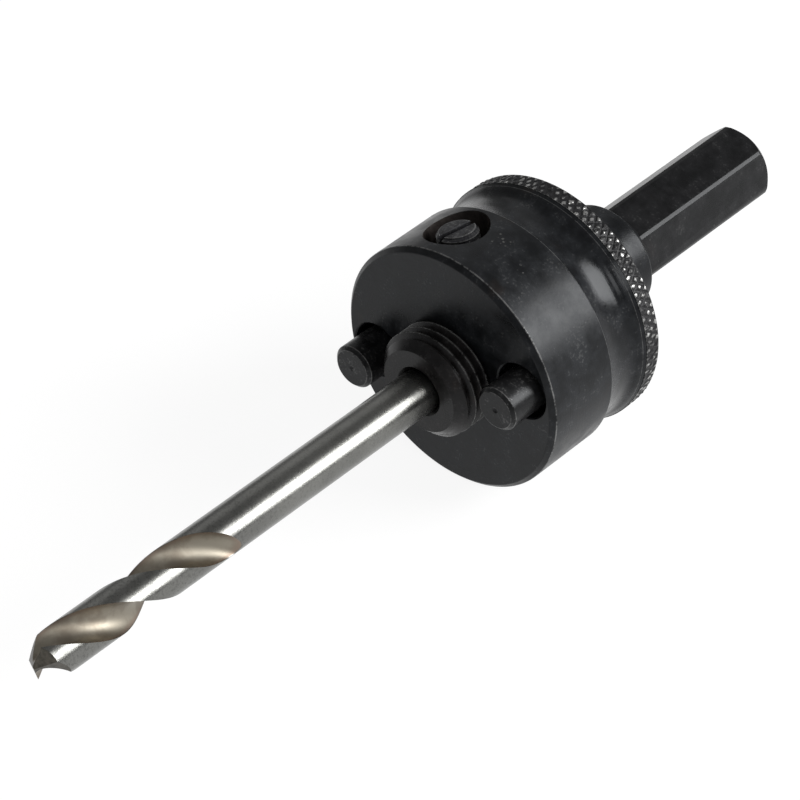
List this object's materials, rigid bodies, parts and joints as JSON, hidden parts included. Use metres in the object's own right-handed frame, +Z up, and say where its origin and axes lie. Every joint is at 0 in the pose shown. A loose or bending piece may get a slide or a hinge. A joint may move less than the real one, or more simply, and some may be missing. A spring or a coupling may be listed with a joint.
{
  "type": "hole saw arbor",
  "caption": "Quick-release hole saw arbor with threaded nose, spring-returned collar carrying drive pins, clamp screw, pilot drill and hexagonal shank.",
  "frame": {"origin": "centre of the face that the saw seats on, where the threaded nose begins", "axes": "the tool lies on its side as in the picture: the axis runs along Y with the drill's tip towards -Y and the shank towards +Y, +Z is up"},
  "size_m": [0.037, 0.1409, 0.037],
  "materials": {
    "black_oxide_steel": "black oxide, satin, worn bright on the edges",
    "pin_steel": "dark, ground, satin",
    "spring_steel": "dark oiled spring steel",
    "washer_steel": "plain stamped steel",
    "screw_steel": "dark, slightly worn",
    "drill_steel": "bright ground, flutes straw coloured"
  },
  "bodies": {
    "arbor": {"arbor_body": "black_oxide_steel", "collar_spring": "spring_steel", "spring_washer": "washer_steel", "retaining_ring": "spring_steel"},
    "collar": {"drive_collar": "black_oxide_steel", "drive_pin_1": "pin_steel", "drive_pin_2": "pin_steel"},
    "screw": {"set_screw": "screw_steel"},
    "drill": {"pilot_drill": "drill_steel"}
  },
  "joints": [
    {"name": "collar_slide", "type": "slide", "parent": "arbor", "child": "collar", "axis": [0, 1, 0], "range_m": [0, 0.0057], "stiffness_N_per_m": 440, "springref_m": -0.0064, "deforming": ["collar_spring"]},
    {"name": "screw_slide", "type": "slide", "parent": "arbor", "child": "screw", "axis": [-0.2672, 0, 0.9636], "range_m": [0, 0.007]},
    {"name": "drill_slide", "type": "slide", "parent": "arbor", "child": "drill", "axis": [0, -1, 0], "range_m": [0, 0.03]}
  ]
}
